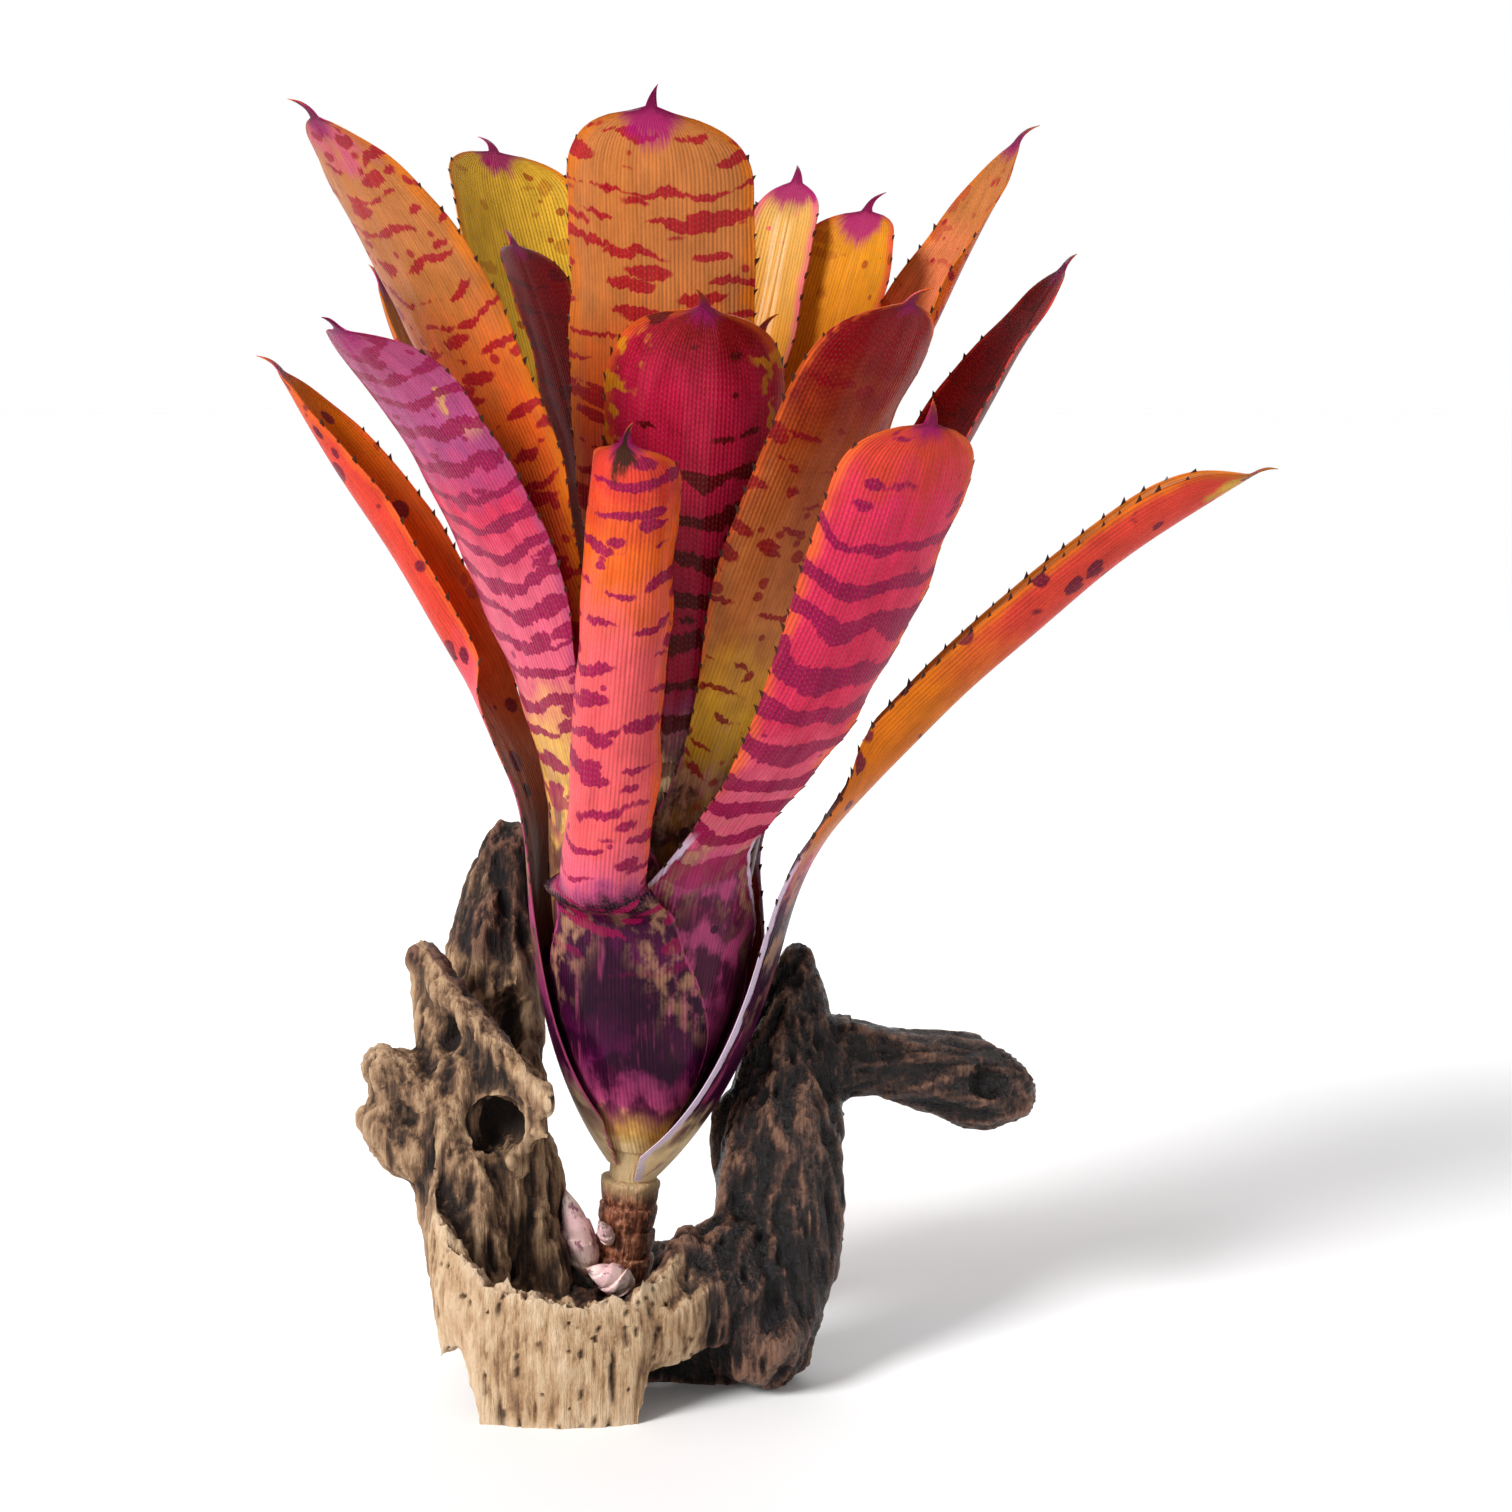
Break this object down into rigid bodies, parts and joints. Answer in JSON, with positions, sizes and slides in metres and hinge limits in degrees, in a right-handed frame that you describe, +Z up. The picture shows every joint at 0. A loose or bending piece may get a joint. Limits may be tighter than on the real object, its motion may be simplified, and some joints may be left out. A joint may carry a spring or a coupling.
{
  "type": "bromeliad on driftwood",
  "caption": "Bromeliad rosette: banded strap leaves with small marginal spines nest into a tight vase on a short ringed stem, which stands with offshoots in a hollow driftwood stump.",
  "frame": {"origin": "middle of the flat sawn underside of the stump's front foot", "axes": "+Z up, -Y towards the viewer of the picture, +X to that viewer's right"},
  "size_m": [0.2287, 0.169, 0.2897],
  "materials": {
    "leaf": "glossy, striped and mottled",
    "stem": "satin",
    "offshoot": "satin",
    "driftwood": "weathered"
  },
  "bodies": {
    "root": {"stem": "stem", "leaf_heart": "leaf", "leaf_left_inner": "leaf", "leaf_back_right_inner": "leaf", "leaf_back_right": "leaf", "leaf_centre_tall": "leaf", "leaf_front_red": "leaf", "leaf_right_olive": "leaf", "leaf_right_tall": "leaf", "leaf_back_left": "leaf", "leaf_left_tall": "leaf", "leaf_right_crimson": "leaf", "leaf_left_back": "leaf", "leaf_left_mauve": "leaf", "leaf_right_pink": "leaf", "leaf_front_rolled": "leaf", "leaf_back": "leaf", "leaf_left_low": "leaf", "leaf_back_low": "leaf", "leaf_right_low": "leaf", "offshoot_tall": "offshoot", "offshoot_low": "offshoot", "offshoot_bud": "offshoot", "driftwood": "driftwood"}
  },
  "joints": []
}
